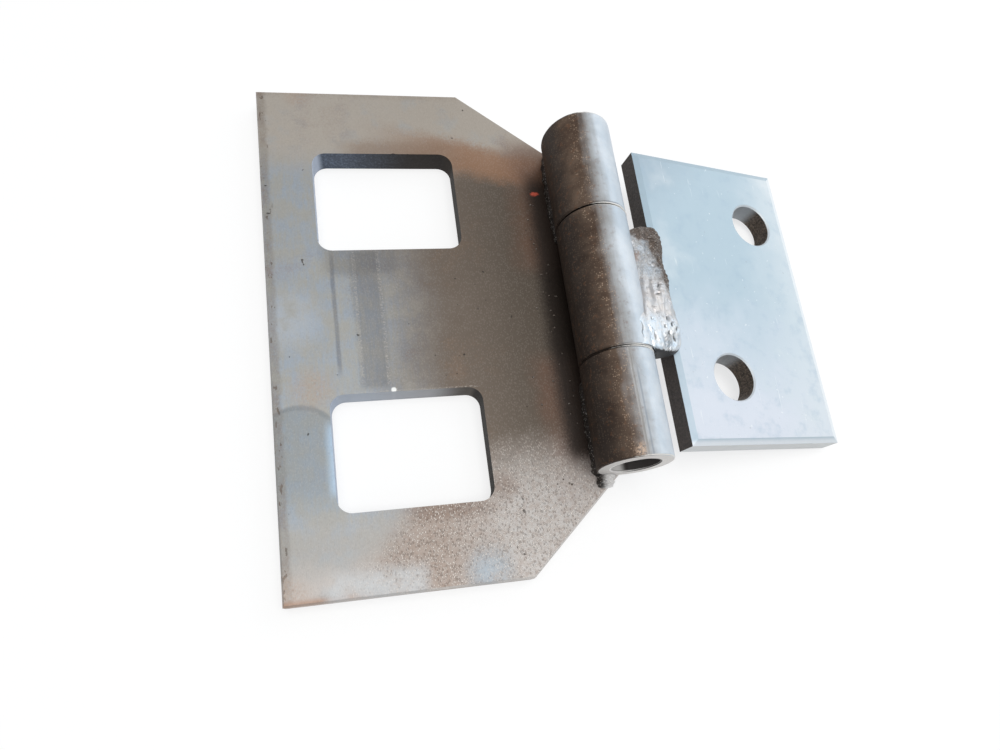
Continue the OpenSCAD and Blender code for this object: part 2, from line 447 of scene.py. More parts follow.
def sandy_scale(plate):
    """Sand tone with bluish patches and scorched spots, light and dark grains over it, and a few pits."""
    x, y, drift, ragged = plate.x, plate.y, plate.drift, plate.ragged
    right = (x - y * 0.885 + drift * 0.35 + ragged * 10).rise(28, 42)
    below = 1 - (y + drift * 0.25 + ragged * 8).rise(-55, -33)
    left_band = (x + drift * 0.3).between(-32, -12, 4) * (1 - (y + drift * 0.15).rise(-71, -66))
    smooth = (left_band + plate.spot(6, -72, 0.5, 9)) * (plate.patch + plate.grain * 0.5).rise(0.35, 0.85)
    plate.sandy = right * below * (1 - 0.85 * smooth) * (1 - plate.soot)
    sand = (x + drift * 0.4).rise(-8, 18).mix(paint(178, 160, 148), paint(209, 204, 200))
    plate.lay(plate.sandy * 0.7, sand)
    blue = x.rise(-12, 0).mix(paint(190, 193, 195), paint(160, 175, 187))
    plate.lay(below * smooth * 0.75, blue)
    scorch = y.between(-56, -54, 2.5) * (x + drift * 0.3).between(-9, 5, 8) + plate.spot(12.5, -50, 1.5, 4)
    plate.lay(scorch * 0.45, paint(122, 98, 84))

    drawn_out = plate.place.times((1.0, 0.6, 1.0))
    light = drawn_out.grains(2.6, 0.6, 0.55)
    dark = drawn_out.grains(2.1, 0.5, 0.5)
    plate.lay(dark * (0.08 + 0.24 * plate.sandy), paint(104, 84, 72))
    plate.lay(light * (0.05 + 0.67 * plate.sandy) * (1 - plate.soot), paint(238, 229, 220))
    mottle = plate.place.noise(0.7, 3.0, 0.7).rise(0.40, 0.65)
    plate.lay(mottle * plate.sandy * 0.35, paint(158, 136, 122))
    pit = plate.place.noise(0.55, 1.0, 0.4).rise(0.785, 0.80)
    plate.lay(pit * 0.7, paint(44, 38, 34))
    plate.relief = (light - dark) * plate.sandy * 0.08 - pit * 0.2


sandy_scale(plate)
plate.tell("sandy scale")

# %% [markdown]
# ## Torch-cut walls
# The windows were cut by torch. Their walls get painted light and shade by the way they face: the wall at
# the left is painted lit, the wall at the right painted black as shade, and the far walls carry blue scale
# that darkens towards the barrel. The sheared outer edges are dull, and their arris carries a painted
# highlight. Separate materials on the walls would need the faces sorted by hand. The way a face points
# says the same.

# %% Cut walls and the finished plate
# limits of both windows with a little room, across the plate and on either side of its middle
WINDOW_X = (-33, 12)
WINDOW_Y = (20, 55)


def cut_walls(plate):
    """Painted light and shade on the window walls by the way they face, the dull outer edges, a painted highlight
    on the small chamfers.
    """
    x, y, grain = plate.x, plate.y, plate.grain
    wall = 1 - abs(plate.face_z).rise(0.3, 0.6)
    plate.window = wall * x.between(*WINDOW_X, 0.5) * abs(y).between(*WINDOW_Y, 0.5)
    towards_barrel = x.rise(-27, 0)
    base = towards_barrel.mix(paint(70, 80, 96), paint(16, 15, 14))
    speckle = towards_barrel.mix(paint(120, 134, 154), paint(42, 42, 44))
    upper_far = grain.rise(0.42, 0.72).mix(base, speckle)
    lower_far = towards_barrel.mix(paint(194, 201, 211), paint(182, 182, 185))
    lower_far = x.rise(-5, 6).mix(lower_far, paint(94, 88, 82))
    tone = y.between(-22.5, -20, 0.5).mix(upper_far, lower_far)
    # painted light on walls that face +x, the left walls of the windows; painted shade, nearly black, on walls
    # that face -x
    tone = plate.face_x.rise(0.2, 0.7).mix(tone, paint(196, 206, 222))
    tone = (0 - plate.face_x).rise(0.3, 0.7).mix(tone, paint(28, 24, 20))
    plate.lay(plate.window * 0.95, tone)
    plate.lay(wall * (1 - plate.window) * 0.5, paint(188, 182, 176))
    # painted highlight on the arris
    arris_highlight = abs(plate.face_z).between(0.5, 0.85, 0.08)
    plate.lay(arris_highlight * (0.15 + 0.5 * plate.sandy), paint(226, 222, 218))


cut_walls(plate)
PLATE_STEEL = plate.finish(
    roughness=0.40 + plate.grain * 0.16 + plate.sandy * 0.10 + plate.window * 0.3,
    metallic=(0.4 - plate.heat * 0.25) * (1 - plate.window),
    height=plate.grain * 0.07 + plate.patch * 0.06 + plate.streak * 0.04 + plate.relief,
)

# %% [markdown]
# ## The small leaf's bar
# The small leaf was cut from clean flat bar. Its face is pale and bluish, paler low down and towards the
# outer edge as painted light, greyer in the upper corner as painted shade, with soft clouds of oxide and a
# few scratches. The leaf lies at a slope, so its own directions are worked out first: across the leaf,
# and out of it. Turning the coordinates with a Mapping node would do too, but two sines and cosines are
# easier to read.

# %% Leaf face


class Leaf(Steel):
    """Steel of the small leaf, with its own directions and the noises that its masks share."""

    def __init__(self):
        super().__init__("leaf_steel")
        self.across = self.across_leaf()
        self.face_across = self.face_x * LEAF_COS - self.face_z * LEAF_SIN
        self.face_out = self.face_x * LEAF_SIN + self.face_z * LEAF_COS
        self.cloud = self.place.noise(0.05, 4.0, 0.6)
        self.patch = self.place.noise(0.22, 5.0, 0.6)
        self.grain = self.place.noise(1.6, 4.0, 0.7)


def leaf_face(leaf):
    """Pale blue, paler low down and at the outer edge as painted light, painted shade in the upper corner, pale
    patches, scratches, dots and smudges.
    """
    place, across, y, cloud = leaf.place, leaf.across, leaf.y, leaf.cloud
    # painted light: paler towards the bottom
    painted_light_fade = (y + across * 0.25 + (cloud - 0.5) * 50).rise(-34, 18)
    leaf.colour = painted_light_fade.mix(paint(216, 221, 230), paint(180, 199, 210))
    # painted shade in the upper corner
    corner = (y - across * 0.9 + (cloud - 0.5) * 30).rise(-2, 32)
    leaf.lay(corner * 0.8, paint(161, 178, 191))
    # painted light towards the outer edge, and pale patches
    worn = (across + (cloud - 0.5) * 34).rise(44, 74) * 0.7 + cloud.rise(0.52, 0.70) * 0.4
    leaf.lay(worn, paint(217, 224, 228))
    leaf.lay(leaf.patch.rise(0.50, 0.72) * 0.3, paint(160, 184, 202))
    leaf.scratch = place.times((1.0, 0.06, 1.0)).noise(1.1, 3.0, 0.6).rise(0.69, 0.73)
    dots = place.noise(0.7, 2.0, 0.5).rise(0.71, 0.75)
    leaf.lay((leaf.scratch + dots) * 0.45, paint(244, 247, 248))
    smudge = place.noise(0.5, 3.0, 0.7).rise(0.68, 0.76)
    leaf.lay(smudge * 0.3, paint(128, 134, 140))


leaf = Leaf()
leaf_face(leaf)
leaf.tell("face")

# %% [markdown]
# ## Edges and holes of the small leaf
# The edge by the barrel is dark from the cutting torch and painted dark as shade, and the hole walls are
# dark from the cutting torch. The sawn ends are bright, and the bevels and the rims of the holes carry
# painted highlights. As on the plate, the way a face points tells which it is. On the upper side of each
# hole the wall is pale, so that part is picked by its place round the hole.

# %% Leaf edges, holes and bevels
# across, along, how pale the upper side of the hole's wall is
LEAF_HOLES = ((57.5, 26.0, 0.85), (36.5, -26.0, 0.55))
HOLES_ACROSS = (TUBE_R + 10, TUBE_R + 59)


def leaf_walls(leaf):
    """Torch-cut edge, dark partly as painted shade, sawn ends, and hole walls that are dark below and pale above.
    """
    y, across, grain = leaf.y, leaf.across, leaf.grain
    wall = 1 - abs(leaf.face_out).rise(0.3, 0.6)
    # the torch-cut edge that faces the barrel: dark from the torch, and painted dark as shade
    leaf.torch = wall * (1 - leaf.face_across.rise(-0.9, -0.6))
    leaf.lay(wall * (1 - leaf.torch) * 0.7, paint(204, 205, 202))
    leaf.lay(leaf.torch * 0.97, grain.rise(0.3, 0.75).mix(paint(48, 38, 32), paint(84, 71, 62)))
    leaf.holes = wall * across.between(*HOLES_ACROSS, 0.5) * abs(y).between(0, 40, 1)
    leaf.lay(leaf.holes * 0.97, grain.rise(0.35, 0.75).mix(paint(52, 43, 36), paint(124, 108, 93)))
    pale = 0
    for hole_across, hole_y, strength in LEAF_HOLES:
        upper_side = (y - hole_y - (across - hole_across) * 0.4).rise(3, 6) * (y - hole_y).between(-9, 9, 0.5)
        pale = upper_side * strength + pale
    leaf.lay(leaf.holes * pale, paint(180, 187, 193))


def leaf_bevels(leaf):
    """Bevels with painted highlights, brightest at the outer and the lower edge, painted highlights on the rims of
    the holes, and a grey back.
    """
    # painted highlights on the bevels, brightest at the outer and the lower edge
    bevel_tone = leaf.y.rise(-45.5, -44).mix(paint(230, 236, 240), paint(172, 192, 204))
    bevel_tone = leaf.face_across.rise(0.05, 0.15).mix(bevel_tone, paint(240, 244, 247))
    bevel = leaf.face_out.between(0.88, 0.97, 0.02)
    leaf.lay(bevel * 0.7, bevel_tone)
    # painted highlight on the rims of the holes
    rim = leaf.face_out.between(0.55, 0.82, 0.05)
    leaf.lay(rim * 0.7, paint(226, 232, 236))
    back = 1 - leaf.face_out.rise(-0.7, -0.4)
    leaf.lay(back * 0.5, paint(140, 142, 144))


leaf_walls(leaf)
leaf_bevels(leaf)
burnt_rough = (leaf.torch + leaf.holes) * leaf.grain * 0.25
LEAF_STEEL = leaf.finish(
    roughness=0.40 + leaf.patch * 0.14 + leaf.torch * 0.2,
    metallic=0.3 - leaf.torch * 0.25,
    height=leaf.grain * 0.03 + leaf.patch * 0.05 + burnt_rough - leaf.scratch * 0.02,
)

# %% [markdown]
# ## The knuckles' tube
# The tube carries brown, speckled scale on the side of the large leaf, and a pale painted reflection of the
# softbox on the other flank.
# Two materials with a hard seam would not do, since the border is frayed. It follows the angle round the
# pin, which comes from the place itself, and two noises fray it.

# %% Tube flanks


class Tube(Steel):
    """Steel of the knuckles, with the angle round the pin, the noises and the border of its flanks."""

    def __init__(self):
        super().__init__("tube_steel")
        self.across = self.x - AXIS_X
        self.reach, self.side = self.around_pin()
        self.cloud = self.place.noise(0.09, 4.0, 0.6)
        self.patch = self.place.noise(0.35, 5.0, 0.65)
        self.grain = self.place.noise(1.8, 4.0, 0.7)
        self.long_grain = self.place.times((1.0, 0.08, 1.0)).noise(0.6, 3.0, 0.6)
        self.border = self.side + 0.14 + (self.cloud - 0.5) * 0.4 + (self.long_grain - 0.5) * 0.3
        self.lit_flank = self.border.rise(-0.02, 0.52)


def tube_flanks(tube):
    """Brown scale, grey at the border and a pale painted reflection on the lit flank, with the shaded side nearly
    black.
    """
    cloud, patch = tube.cloud, tube.patch
    brown = (patch * 0.5 + cloud * 0.7).rise(0.35, 0.85).mix(paint(64, 45, 33), paint(110, 92, 78))
    clear = cloud.rise(0.35, 0.7)
    grey = clear.mix(paint(150, 148, 146), paint(168, 170, 172))
    tube.colour = tube.border.rise(-0.26, 0.16).mix(brown, grey)
    # painted reflection: the flank towards the softbox is painted pale
    tube.lay(tube.lit_flank, clear.mix(paint(190, 201, 211), paint(214, 220, 226)))
    upper = tube.y.rise(17, 24)
    shaded = 1 - (tube.side + (cloud - 0.5) * 0.3).rise(-0.95, -0.3 - upper * 0.25)
    tube.lay(shaded * 0.85, paint(40, 33, 29))


tube = Tube()
tube_flanks(tube)
tube.tell("flanks")

# %% [markdown]
# ## Marks and ends of the tube
# Rust and pale specks crowd along the border, the lower knuckle shows its rolling seam as a painted
# highlight with a painted shade line for the fold beside it, and a rubbed spot lies at its end. The sawn
# ends at the barrel's ends are pale grey with rings from the blade, those between the knuckles get painted
# shade, and the bore is dark but for the side that the light reaches. The rings are a sine of the distance
# from the pin.

# %% Tube marks, ends and bore


def tube_marks(tube):
    """Rust, specks along the border, a painted highlight on the lower knuckle's rolled joint with a painted shade
    line beside it, a worn bare spot.
    """
    across, y, patch = tube.across, tube.y, tube.patch
    rust = tube.place.noise(0.7, 3.0, 0.6).rise(0.56, 0.70)
    tube.lay(rust * 0.4 * (1 - tube.lit_flank), paint(112, 76, 52))
    at_border = tube.border.between(-0.3, -0.05, 0.15) * patch.rise(0.4, 0.6)
    speck = tube.place.grains(2.4, 0.4, 0.5)
    tube.lay(speck * (0.08 + 0.38 * at_border), paint(208, 182, 156))
    lower_knuckle = 1 - y.rise(CENTRE_LOW[1] - 1, CENTRE_LOW[1] - 0.4)
    # painted highlight along the rolling seam of the lower knuckle
    seam_highlight = across.between(-0.95, -0.45, 0.25) * lower_knuckle
    tube.lay(seam_highlight * 0.4, paint(230, 228, 225))
    # painted shade line in the fold beside the seam
    fold_shade = across.between(0.5, 0.7, 0.25) * (1 - y.rise(-30, -25))
    tube.lay(fold_shade * 0.45, paint(118, 128, 142))
    from_bare = ((across + 2.3) / 1.7).hypot((y + 48.2) / 2.2) + (patch - 0.5) * 1.2
    bare = (1 - from_bare.rise(0.2, 1.2)) * tube.grain.rise(0.38, 0.6)
    tube.lay(bare * 0.75, paint(222, 192, 166))


def tube_ends(tube):
    """Pale sawn faces at the barrel's ends, painted shade on the ones between the knuckles, the bore with its lit
    side.
    """
    outer = abs(tube.y).rise(BARREL_END - 6, BARREL_END - 5)
    tube.sawn = abs(tube.face_y).rise(0.8, 0.95)
    end_tone = (tube.patch * 0.5).mix(paint(222, 218, 214), paint(194, 190, 185))
    # painted shade on the sawn faces between the knuckles, which lie in the gaps
    tube.lay(tube.sawn * 0.95, outer.mix(paint(40, 34, 30), end_tone))
    tube.bore = 1 - tube.reach.rise(BORE_R + 0.2, BORE_R + 0.4)
    lit = (1 - tube.side.rise(-0.35, 0.05)) * outer
    tube.lay(tube.bore * 0.95, lit.mix(paint(46, 38, 33), paint(250, 247, 244)))


tube_marks(tube)
tube_ends(tube)
tube.shader.inputs["Specular IOR Level"].default_value = 0.3
saw_rings = tube.sawn * (tube.reach * 9 + tube.patch * 6).math("SINE")
TUBE_STEEL = tube.finish(
    roughness=0.36 + tube.patch * 0.14 + (1 - tube.lit_flank) * 0.10,
    metallic=(0.25 + tube.lit_flank * 0.15) * (1 - tube.bore),
    height=tube.grain * 0.03 + tube.patch * 0.03 + tube.long_grain * 0.02 + saw_rings * 0.02,
)

# %% [markdown]
# ## Weld metal
# Weld metal is bright where the arc ended cleanly and burnt brown where slag and soot stayed. Along the
# centre bead the lower half is bright, the middle dull and the upper end under a brown crust, so the mask
# runs along the barrel. The fillets are burnt all along. One function serves all three welds, because
# only the place where the burning starts and the depth of the brown differ. Furrows get painted shade:
# their depth comes with the mesh, as an attribute called crest.

# %% Weld tones


class Weld(Steel):
    """Weld metal, bright below one place along the barrel and burnt above another."""

    def __init__(self, name, bright_to, burnt_from):
        super().__init__(name)
        self.bright_to = bright_to
        self.across = self.across_leaf()
        self.crest = add_node(self.tree, "ShaderNodeAttribute", {"attribute_name": "crest"}, out="Fac")
        self.patch = self.place.noise(0.40, 4.0, 0.6)
        self.fine = self.place.noise(1.7, 5.0, 0.7)
        slanted = self.y + (self.patch - 0.5) * 26 + (self.across - TUBE_R - 4) * 3
        crust = (self.y + (self.across - TUBE_R) * 0.6 + (self.patch - 0.5) * 6).rise(12.5, 15.5)
        crust = crust * (self.across + (self.fine - 0.5) * 2).rise(TUBE_R - 4.6, TUBE_R - 2.6)
        self.burnt = slanted.rise(bright_to, burnt_from).math("MAXIMUM", crust * 0.95)


def weld_tones(weld, deep_brown, top_brown):
    """Bright metal with a tan stretch, dull grey above it, brown where burnt, a smudge by the tube."""
    y, patch, fine = weld.y, weld.patch, weld.fine
    weld.colour = patch.rise(0.3, 0.7).mix(paint(202, 216, 228), paint(230, 230, 230))
    tan = (y + (fine - 0.5) * 6).between(-10, 0, 4)
    weld.lay(tan * 0.5, paint(206, 192, 183))
    dull = y.rise(weld.bright_to - 2, weld.bright_to + 6)
    weld.lay(dull * 0.7, fine.rise(0.35, 0.7).mix(paint(120, 116, 114), paint(176, 180, 186)))
    weld.lay(weld.burnt, fine.rise(0.3, 0.75).mix(deep_brown, top_brown))
    by_tube = (weld.across + (patch - 0.5) * 4).between(TUBE_R - 2.5, TUBE_R - 1, 1.2)
    smudge = by_tube * (y + (fine - 0.5) * 5).between(7.4, 8.8, 1.6)
    weld.lay(smudge * 0.5, paint(148, 112, 86))


print("pale weld tone:", [round(value, 2) for value in paint(230, 230, 230)[:3]])

# %% [markdown]
# ## Furrows, soot and ends of the welds, and the pin
# Over the tones lie painted shade in the furrows, specks of soot and small glints. Past the end of the
# barrel a fillet's tail is pale, and faces that look down the barrel get painted shade, since no light
# reaches them. They could be left to the lamps, but under soft light from all sides the underside would
# look grey. The pin is plain dark bar, seen only deep inside the bore.

# %% Weld and pin finishes
# far below the barrel, so that the whole weld is burnt
ALL_BURNT = (-190, -180)


def weld_finish(name, limits, deep_brown, top_brown):
    """Weld tones with painted shade in the furrows, sooty specks and glints, the pale tail of a fillet and end
    faces in painted shade.
    """
    weld = Weld(name, *limits)
    weld_tones(weld, deep_brown, top_brown)
    # painted shade in the furrows and pressed marks, from the crest attribute
    furrow_shade = (1 - weld.crest.rise(0, 0.45)) * (0.95 - weld.burnt * 0.6)
    weld.lay(furrow_shade, paint(58, 60, 64))
    soot = weld.place.noise(0.9, 3.0, 0.6).rise(0.62, 0.70)
    weld.lay(soot * (0.2 + weld.burnt * 0.4), paint(40, 36, 34))
    weld.lay(weld.place.grains(2.6, 0.35, 0.5) * 0.45, paint(222, 214, 204))
    past_end = abs(weld.y).rise(BARREL_END - 0.4, BARREL_END + 0.4)
    tail = (weld.x + (weld.patch - 0.5) * 2).rise(38.2, 40.8) * past_end
    tail = tail * (1 - weld.x.rise(AXIS_X, AXIS_X + 1))
    weld.lay(tail * 0.92, soot.mix(paint(238, 236, 234), paint(150, 138, 130)))
    # painted shade on faces that look down the barrel
    end_face = (1 - weld.face_y.rise(-0.75, -0.45)) * (1 - tail)
    weld.lay(end_face * 0.95, paint(28, 24, 21))
    return weld.finish(
        roughness=0.22 + weld.patch * 0.16 + weld.burnt * 0.24 + end_face * 0.3,
        metallic=(0.65 - weld.burnt * 0.5) * (1 - end_face),
        height=weld.fine * (0.08 + weld.burnt * 0.12) + weld.patch * 0.10 - soot * 0.08,
    )


def pin_finish():
    """Dark drawn bar, mottled."""
    pin = Steel("pin_steel")
    patch = pin.place.noise(0.5, 4.0, 0.6)
    pin.colour = patch.mix(paint(44, 38, 34), paint(74, 66, 60))
    return pin.finish(0.4 + patch * 0.15, 0.5, patch * 0.05)


PIN_STEEL = pin_finish()
BEAD_METAL = weld_finish("bead_metal", (-2, 17), paint(56, 45, 38), paint(116, 100, 88))
FILLET_METAL = weld_finish("fillet_metal", ALL_BURNT, paint(28, 24, 21), paint(64, 54, 46))
SPATTER_METAL = weld_finish("spatter_metal", ALL_BURNT, paint(74, 64, 56), paint(134, 122, 112))

# %% [markdown]
# ## Finishes onto the solids
# The plates, tubes and pin already have their true shape, so they keep their meshes and only take a
# finish.

# %% Assign finishes
FINISH_OF = {
    "body_leaf": PLATE_STEEL,
    "bonnet_leaf": LEAF_STEEL,
    "upper_knuckle": TUBE_STEEL,
    "centre_knuckle": TUBE_STEEL,
    "lower_knuckle": TUBE_STEEL,
    "hinge_pin": PIN_STEEL,
}
for node_name, material in FINISH_OF.items():
    slots = frame["nodes"][node_name].data.materials
    slots.clear()
    slots.append(material)
print("finished solids:", ", ".join(FINISH_OF))

# %% [markdown]
# ## Meshes from arrays
# New pieces are surfaces on a grid: one parameter runs along the piece, the other round it. Sculpting
# could give such lumps too, but nobody could repeat it. Numpy works out all points at once, and the faces
# follow from the grid's own numbering. A piece that ends is closed by a fan at each end, and a ring is
# closed on itself. The sign of the volume tells whether the faces point outwards.

# %% Closed skins on a grid


def signed_volume(points, triangles):
    """Sum over triangles of a . (b x c) / 6: positive where the faces point outwards."""
    a, b, c = (points[triangles[:, k]] for k in range(3))
    return float(np.einsum("ij,ij->i", a, np.cross(b, c)).sum() / 6)


def tube_triangles(rings, around, ring_closed):
    """Two triangles for each cell of a grid that is closed round, and closed along if ring_closed."""
    last = rings if ring_closed else rings - 1
    i, j = np.meshgrid(np.arange(last), np.arange(around), indexing="ij")
    i_next = (i + 1) % rings
    j_next = (j + 1) % around
    a, b, c, d = (p * around + q for p, q in ((i, j), (i_next, j), (i_next, j_next), (i, j_next)))
    return np.concatenate([np.stack(t, -1).reshape(-1, 3) for t in ((a, b, c), (a, c, d))])


def closed_skin(grid, ring_closed=False):
    """Points and outward triangles of a grid of rings; open ends get a fan to their middle point."""
    rings, around, _ = grid.shape
    points = grid.reshape(-1, 3)
    triangles = tube_triangles(rings, around, ring_closed)
    if not ring_closed:
        middles = np.stack([grid[0].mean(0), grid[-1].mean(0)])
        j = np.arange(around)
        j_next = (j + 1) % around
        start = np.stack([np.full(around, rings * around), j, j_next], -1)
        base = (rings - 1) * around
        end = np.stack([np.full(around, rings * around + 1), base + j_next, base + j], -1)
        points = np.concatenate([points, middles])
        triangles = np.concatenate([triangles, start, end])
    if signed_volume(points, triangles) < 0:
        triangles = triangles[:, ::-1]
    return points, triangles


square = np.array([[1, 0], [0, 1], [-1, 0], [0, -1]], float)
prism = np.stack([np.column_stack([square, np.full(4, height)]) for height in (0.0, 1.0)])
print("test prism, volume 2:", signed_volume(*closed_skin(prism)))

# %% [markdown]
# ## From skins to pieces
# A piece may be made of several closed skins, such as all drops of spatter. It rides on one body and
# takes one material. Lumps come from a few sine waves in random directions with a fixed seed: Blender's
# own noise would do, but it can't be called on whole arrays.

# %% Pieces, lumps and steps


def make_piece(name, skins, material, body, crest=None):
    """One smooth mesh from closed skins in millimetres, riding on a body, with the crest for furrows."""
    counts = np.cumsum([0] + [len(points) for points, _ in skins])
    points = np.concatenate([points for points, _ in skins]) * MM
    faces = np.concatenate([triangles + start for (_, triangles), start in zip(skins, counts)])
    mesh = bpy.data.meshes.new(name)
    mesh.from_pydata(points.tolist(), [], faces.tolist())
    mesh.polygons.foreach_set("use_smooth", np.ones(len(faces), bool))
    heights = np.ones(len(points))
    if crest is not None:
        heights[:crest.size] = crest.ravel()
    mesh.attributes.new("crest", "FLOAT", "POINT").data.foreach_set("value", heights)
    mesh.materials.append(material)
    piece = bpy.data.objects.new(name, mesh)
    bpy.context.scene.collection.objects.link(piece)
    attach(piece, body)
    size = np.ptp(points, axis=0) / MM
    print(f"{name}: {len(faces)} triangles, {size[0]:.1f} x {size[1]:.1f} x {size[2]:.1f} mm")
    return piece


def lumps(first, second, seed, waves=7):
    """Lumps about 0: a sum of sine waves, seeded in direction and phase, over the root of their count."""
    rng = np.random.default_rng(seed)
    turns = rng.uniform(0.35, 2.2, (waves, 2)) * rng.choice([-1, 1], (waves, 2))
    phases = rng.uniform(0, 2 * math.pi, waves)
    total = sum(np.sin(a * first + b * second + p) for (a, b), p in zip(turns, phases))
    return total / math.sqrt(waves)


def step(value):
    """Smooth step from 0 to 1 about 0: half of one plus the hyperbolic tangent."""
    return 0.5 + 0.5 * np.tanh(value)


def rows_and_turns(along, around):
    """Grid of a share from -1 to 1, with rows that crowd at the ends as a sine does, and an angle round."""
    share = np.sin(np.linspace(-math.pi / 2, math.pi / 2, along))
    turn = np.linspace(0, 2 * math.pi, around, endpoint=False)
    return np.meshgrid(share, turn, indexing="ij")


def blunt_end(share, power):
    """Factor that is 1 along the piece and falls to nearly 0 at its ends, the later the higher the power."""
    return (1 - np.abs(share) ** power).clip(1e-4) ** (1 / power)


print("blunt end at 0, 0.9 and 1:", blunt_end(np.array([0, 0.9, 1]), 9).round(2))

# %% [markdown]
# ## The centre bead's section
# A thick run of weld bridges the gap from the centre knuckle to the small leaf. Its upper half is a plain
# round run, its lower half lies wider and lower and leans on the tube. A bent cylinder would show
# neither, so the section is a closed loop round the bead's middle line, given by a few radii.
# Along the barrel one loop passes into the other.

# %% Upper and lower loop
UPPER_MIDDLE = (13.5, 1.5)
UPPER_ANGLES = (0, 20, 45, 70, 90, 110, 130, 145, 165, 200, 240, 270, 310, 340)
UPPER_RADII = (6.0, 6.3, 5.6, 5.1, 5.0, 5.2, 6.0, 7.0, 7.3, 6.0, 4.9, 4.6, 4.9, 5.5)
LOWER_MIDDLE = (11.0, 4.0)
LOWER_ANGLES = (0, 20, 36, 60, 90, 115, 131, 142, 155, 180, 215, 250, 290, 320, 345)
LOWER_RADII = (8.5, 6.9, 5.8, 4.7, 4.3, 4.9, 6.2, 7.5, 6.6, 6.0, 6.2, 6.8, 7.2, 7.6, 8.3)


def leaf_to_row(across, along, out):
    """Points from the small leaf's own directions to the hinge's frame, both in millimetres."""
    x = AXIS_X + across * LEAF_COS + out * LEAF_SIN
    z = AXIS_Z - across * LEAF_SIN + out * LEAF_COS
    return np.stack([x, along, z], -1)


def loop(turn, middle, angles, radii, harmonics=14):
    """Section round a middle: radius by angle from a few values, joined by lines, cut to few harmonics."""
    waves = np.fft.rfft(np.interp(np.degrees(turn), angles, radii, period=360))
    waves[harmonics:] = 0
    radius = np.fft.irfft(waves, len(turn))
    return np.stack([middle[0] + radius * np.cos(turn), middle[1] + radius * np.sin(turn)], -1)


def bead_section(lower, turn):
    """Blend of the two loops: the lower one where lower is 1, the upper one where it is 0."""
    upper_loop = loop(turn, UPPER_MIDDLE, UPPER_ANGLES, UPPER_RADII)
    lower_loop = loop(turn, LOWER_MIDDLE, LOWER_ANGLES, LOWER_RADII)
    return (1 - lower)[..., None] * upper_loop + lower[..., None] * lower_loop


for half, radii in (("upper", UPPER_RADII), ("lower", LOWER_RADII)):
    print(f"{half} loop: radius {min(radii)} to {max(radii)} mm")

# %% [markdown]
# ## Marks in the bead
# The bead's skin was pressed by slag and gas: short lines and pits, mostly at the lower end, and the
# slanted oval of the last pool with faint ripples and a ridge beside it. Random pits would sit anywhere,
# so each mark is placed one by one. They are cut into the mesh, and the same numbers darken them through the
# crest attribute.

# %% Pressed marks and the last pool
# across, along, lean in degrees, half length, half width, depth
MARKS = (
    (7.2, -17.3, 3, 1.6, 0.40, 0.40),
    (5.0, -17.5, -5, 1.1, 0.40, 0.30),
    (15.8, -12.1, 0, 0.80, 0.60, 0.45),
    (14.2, -13.4, 0, 0.80, 0.70, 0.50),
    (15.1, -17.2, -30, 1.40, 0.75, 0.55),
    (13.0, -16.0, 0, 0.55, 0.45, 0.35),
    (15.8, -14.5, 0, 0.70, 0.50, 0.35),
    (13.3, -11.3, 10, 1.00, 0.40, 0.35),
    (11.7, -14.1, 0, 0.45, 0.40, 0.30),
    (7.2, -12.4, 0, 0.50, 0.35, 0.25),
    (13.6, -0.7, 35, 1.30, 0.40, 0.35),
    (12.1, -3.8, 70, 1.10, 0.35, 0.30),
)
POOL_MIDDLE = (11.9, -18.0)
POOL_LEAN = 0.25
POOL_HALF = (2.7, 4.2)
POOL_SINK = 0.25
RIPPLE_PITCH = 0.85
RIPPLE_HEIGHT = 0.08
RIDGE_HEIGHT = 0.35
RIDGE_HALF = 0.7


def pressed_marks(across, along):
    """Depth and darkness of short lines and pits: a bell across each mark times a flat-topped bell along."""
    a, y, lean, half_length, half_width, deep = np.array(MARKS).T[..., None, None]
    lean = np.radians(lean)
    ahead = (across - a) * np.sin(lean) + (along - y) * np.cos(lean)
    aside = (across - a) * np.cos(lean) - (along - y) * np.sin(lean)
    bell = np.exp(-(aside / half_width) ** 2 - (ahead / half_length) ** 4)
    return (deep * bell).sum(0), bell.max(0)


def last_pool(across, along):
    """The last pool: a slanted oval, 1 within and 0 without, its curved ripples and the ridge beside it."""
    down = along - POOL_MIDDLE[1]
    aside = across - POOL_MIDDLE[0] - POOL_LEAN * down
    pool = np.exp(-((aside / POOL_HALF[0]) ** 2 + (down / POOL_HALF[1]) ** 2) ** 2)
    ripple = np.abs(np.cos(math.pi * (0.77 * aside - 0.64 * down + 0.08 * aside ** 2) / RIPPLE_PITCH))
    ridge = np.exp(-((aside + POOL_HALF[0] + 0.5) / RIDGE_HALF) ** 2 - (down / POOL_HALF[1]) ** 4)
    return pool, ripple, ridge


print(len(MARKS), "marks, deepest", max(mark[-1] for mark in MARKS), "mm")

# %% [markdown]
# ## Relief of the bead
# The skin is pushed in and out along the arms from the middle line: slow lumps everywhere, finer ones on
# the lower half, a rough upper edge and a knob near the top, less the marks and the last pool. A
# displacement in the material would look alike in one renderer only, so the relief is in the mesh.

# %% Bead relief


